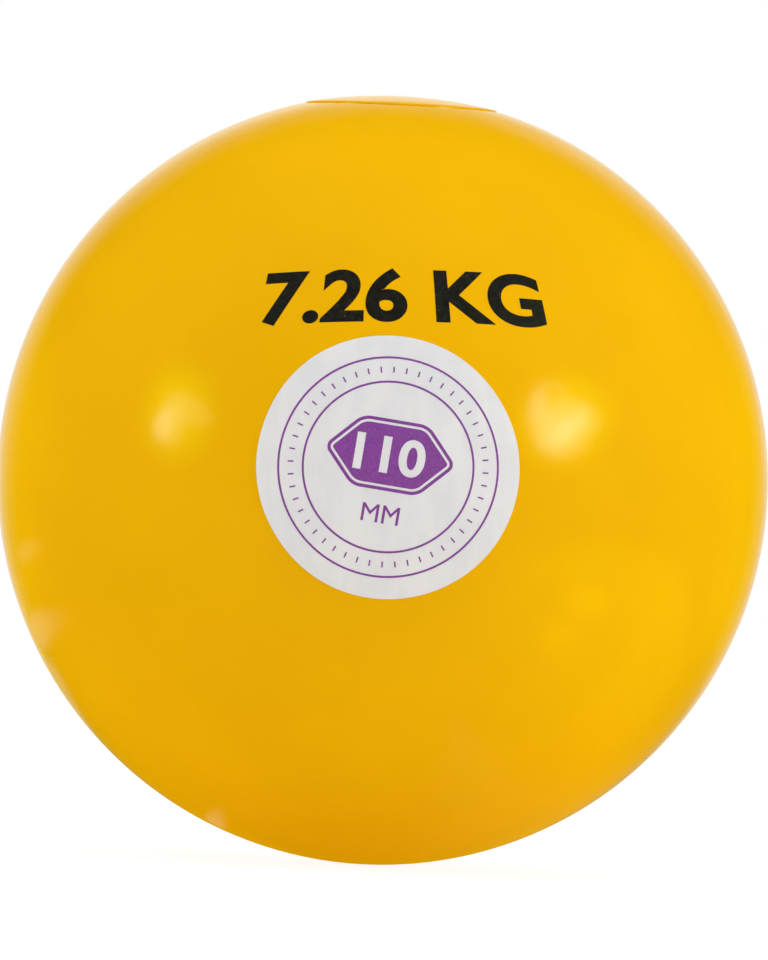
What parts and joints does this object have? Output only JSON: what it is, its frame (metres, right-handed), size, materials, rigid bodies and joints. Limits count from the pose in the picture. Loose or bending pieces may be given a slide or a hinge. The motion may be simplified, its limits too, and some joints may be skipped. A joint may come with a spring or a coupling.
{
  "type": "shot put ball",
  "caption": "Painted putting shot: a lead-filled steel ball with a screwed filling plug flush in its top and a round film label on its side.",
  "frame": {"origin": "centre of the ball", "axes": "+Z along the filling plug's axis, out of the ball; the label faces -Y"},
  "size_m": [0.11, 0.1102, 0.1098],
  "materials": {
    "enamel": "glossy yellow enamel over turned steel",
    "plug_enamel": "glossy yellow enamel on the head, bare turned steel on the thread",
    "lead": "dull cast lead",
    "felt": "pressed felt",
    "copper": "annealed copper",
    "label_film": "satin white self-adhesive film"
  },
  "bodies": {
    "ball": {"shell": "enamel", "lead_core": "lead", "trim_disc_1": "lead", "trim_disc_2": "lead", "trim_disc_3": "lead", "packing_wad": "felt", "label": "label_film"},
    "washer": {"sealing_washer": "copper"},
    "plug": {"filling_plug": "plug_enamel"}
  },
  "joints": [
    {"name": "plug_rise", "type": "slide", "parent": "ball", "child": "washer", "axis": [0, 0, 1], "range_m": [0, 0.009]},
    {"name": "plug_turn", "type": "hinge", "parent": "washer", "child": "plug", "pos_m": [0, 0, 0.05], "axis": [0, 0, 1], "range_deg": [0, 2160]}
  ],
  "couplings": [
    {"joint": "plug_rise", "follows": "plug_turn", "m_per_rad": 0.00023873}
  ]
}
